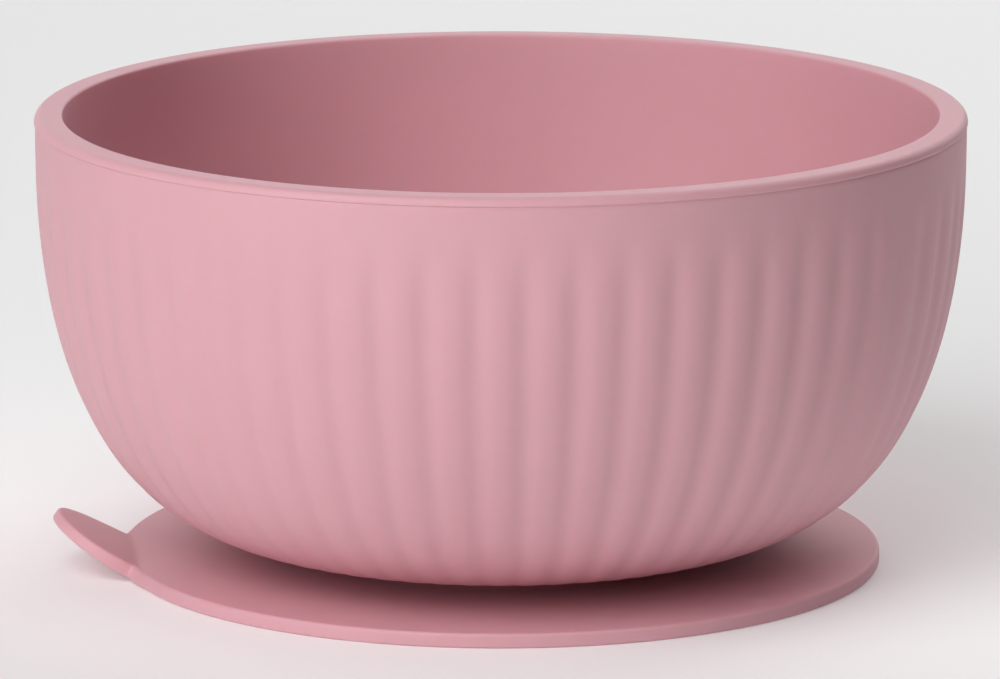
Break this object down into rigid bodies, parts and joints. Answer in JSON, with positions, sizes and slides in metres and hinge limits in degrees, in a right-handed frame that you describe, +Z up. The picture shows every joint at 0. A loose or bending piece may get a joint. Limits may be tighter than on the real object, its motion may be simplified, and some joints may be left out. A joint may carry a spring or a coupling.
{
  "type": "suction bowl",
  "caption": "Deep round ribbed silicone bowl for feeding a small child, on a wide suction base with an upturned release tab.",
  "frame": {"origin": "centre of the suction base's underside, on the surface that the bowl stands on", "axes": "+Z up along the bowl's axis; the release tab points towards -X, turned 6 degrees towards -Y; -Y faces the viewer"},
  "size_m": [0.125, 0.125, 0.0616],
  "materials": {
    "bowl_silicone": "satin matte moulded silicone",
    "base_silicone": "satin matte moulded silicone"
  },
  "bodies": {
    "suction_base": {"suction_flange": "base_silicone", "suction_diaphragm": "base_silicone"},
    "bowl": {"bowl": "bowl_silicone", "neck": "base_silicone"},
    "tab": {"pull_tab": "base_silicone"}
  },
  "joints": [
    {"name": "bowl_press", "type": "slide", "parent": "suction_base", "child": "bowl", "axis": [0, 0, 1], "range_m": [-0.0012, 0], "stiffness_N_per_m": 12000, "springref_m": 0.0001, "deforming": ["suction_diaphragm"]},
    {"name": "tab_lift", "type": "hinge", "parent": "suction_base", "child": "tab", "pos_m": [-0.05042, -0.0053, 0.001], "axis": [-0.1045, 0.9945, 0], "range_deg": [-33, 40], "stiffness_Nm_per_rad": 0.006, "springref_deg": 0.29}
  ]
}
